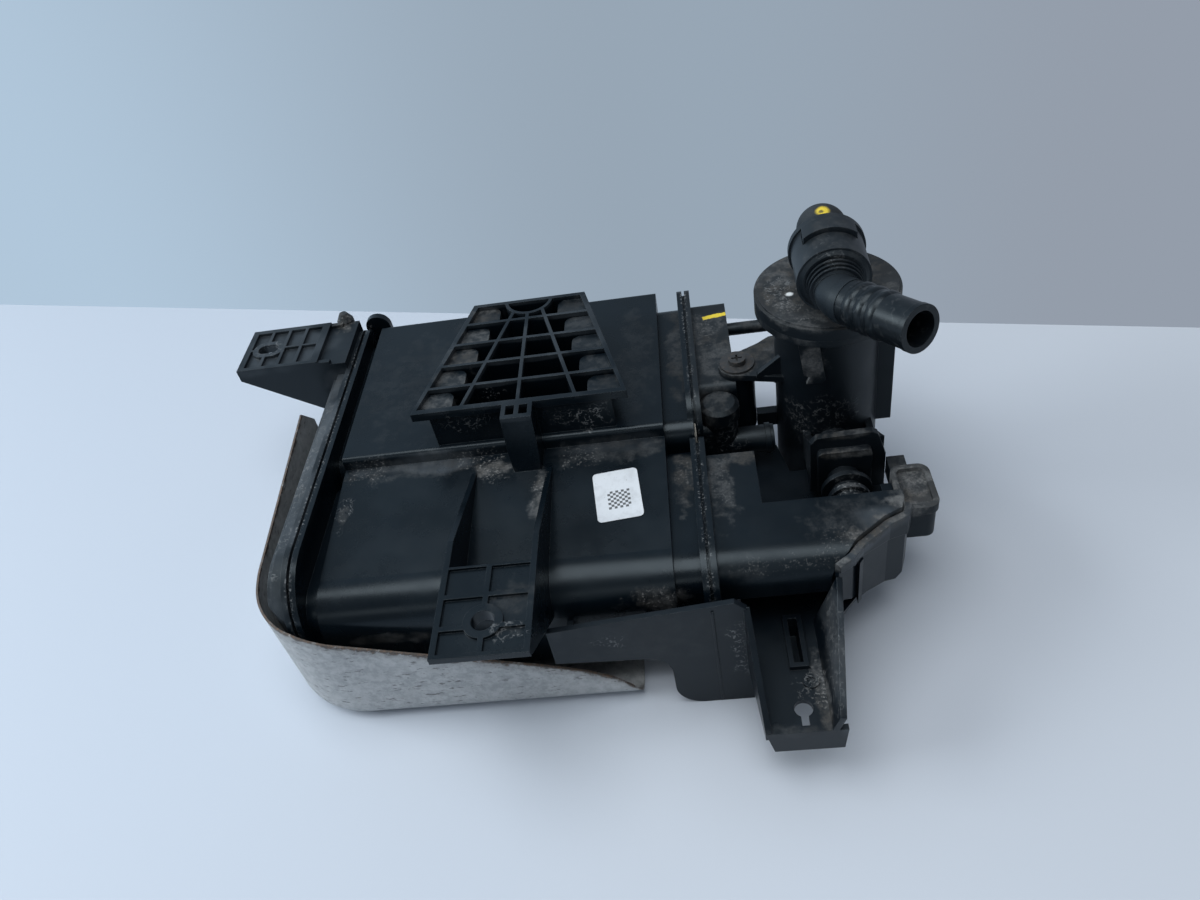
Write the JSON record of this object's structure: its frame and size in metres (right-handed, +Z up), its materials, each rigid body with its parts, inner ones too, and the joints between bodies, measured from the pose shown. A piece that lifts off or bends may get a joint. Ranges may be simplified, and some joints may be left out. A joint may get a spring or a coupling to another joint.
{
  "type": "charcoal canister",
  "caption": "Charcoal canister for fuel vapour: two-chamber plastic housing with mounting arms, lattice pad, air filter with hose stub, closing valve, heat shield and lower guard.",
  "frame": {"origin": "on the underside of the heat shield, straight below the lattice pad's centre rib", "axes": "+X along the canister from the rear arm's end to the filter's end, +Y to the rear, +Z up from the surface it stands on"},
  "size_m": [0.4085, 0.2961, 0.189],
  "materials": {
    "black_plastic": "moulded, satin, dusty",
    "filter_plastic": "moulded, satin, dusty",
    "guard_plastic": "moulded, matte, dusty",
    "rubber": "matte rubber",
    "steel": "dull, lightly rusted",
    "coated_sheet": "mottled grey coated sheet, dirty edges",
    "carbon": "granular carbon fill",
    "felt": "felt and filter fleece",
    "label": "bare white label"
  },
  "bodies": {
    "root": {"housing": "black_plastic", "left_cap": "black_plastic", "port_cover": "black_plastic", "drain_cover": "black_plastic", "rear_carbon_bed": "carbon", "front_carbon_bed": "carbon", "rear_screens": "felt", "front_screens": "felt", "rear_pressure_plate": "guard_plastic", "front_pressure_plate": "guard_plastic", "bed_springs": "steel", "heat_shield": "coated_sheet", "shield_nuts": "steel", "filter_can": "filter_plastic", "filter_lid": "filter_plastic", "filter_element": "felt", "lid_seal": "rubber", "outlet_seal": "rubber", "connector_body": "black_plastic", "connector_lock": "black_plastic", "connector_seals": "rubber", "hose_stub": "rubber", "lug_screw": "steel", "lug_washer": "steel", "valve_body": "filter_plastic", "valve_socket": "black_plastic", "guard_bracket": "guard_plastic", "label": "label"}
  },
  "joints": []
}
